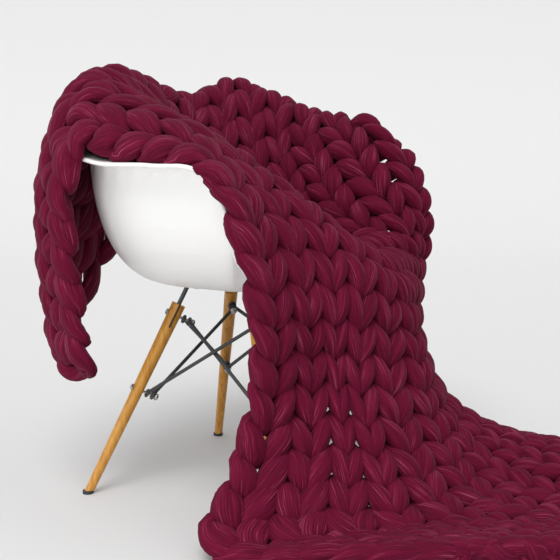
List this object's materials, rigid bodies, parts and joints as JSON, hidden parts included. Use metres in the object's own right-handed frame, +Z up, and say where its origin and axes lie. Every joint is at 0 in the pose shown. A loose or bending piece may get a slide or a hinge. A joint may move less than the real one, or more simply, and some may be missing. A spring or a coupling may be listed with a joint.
{
  "type": "weighted knit blanket on a shell armchair",
  "caption": "Chunky knit throw blanket laid over a moulded shell armchair: it hangs over the back, sinks into the seat and runs down the front onto the floor.",
  "frame": {"origin": "on the floor under the middle of the bounding box of the blanket and the chair", "axes": "+Z up, -Y the way the sitter faces and the blanket runs out over the floor, -X the side whose armrest shows"},
  "size_m": [0.8608, 1.3432, 0.8339],
  "materials": {
    "wool": "soft unspun wool, burgundy",
    "shell": "white, satin",
    "wood": "golden, satin lacquer",
    "dark_steel": "dark grey paint",
    "bolt_steel": "zinc plated",
    "glide": "dark grey"
  },
  "bodies": {
    "root": {"blanket": "wool", "chair_shell": "shell", "leg_near_rear": "wood", "leg_far_rear": "wood", "leg_far_front": "wood", "leg_near_front": "wood", "glide_near_rear": "glide", "glide_far_rear": "glide", "glide_far_front": "glide", "glide_near_front": "glide", "bracket_near_rear": "dark_steel", "bracket_far_rear": "dark_steel", "bracket_far_front": "dark_steel", "bracket_near_front": "dark_steel", "seat_bolt_near_rear": "bolt_steel", "seat_bolt_far_rear": "bolt_steel", "seat_bolt_far_front": "bolt_steel", "seat_bolt_near_front": "bolt_steel", "bolt_upper_near_rear": "bolt_steel", "bolt_upper_far_rear": "bolt_steel", "bolt_upper_far_front": "bolt_steel", "bolt_upper_near_front": "bolt_steel", "bolt_lower_near_rear": "bolt_steel", "bolt_lower_far_rear": "bolt_steel", "bolt_lower_far_front": "bolt_steel", "bolt_lower_near_front": "bolt_steel", "brace_down_near_rear": "dark_steel", "brace_down_far_rear": "dark_steel", "brace_down_far_front": "dark_steel", "brace_down_near_front": "dark_steel", "brace_up_near_rear": "dark_steel", "brace_up_far_rear": "dark_steel", "brace_up_far_front": "dark_steel", "brace_up_near_front": "dark_steel"}
  },
  "joints": []
}
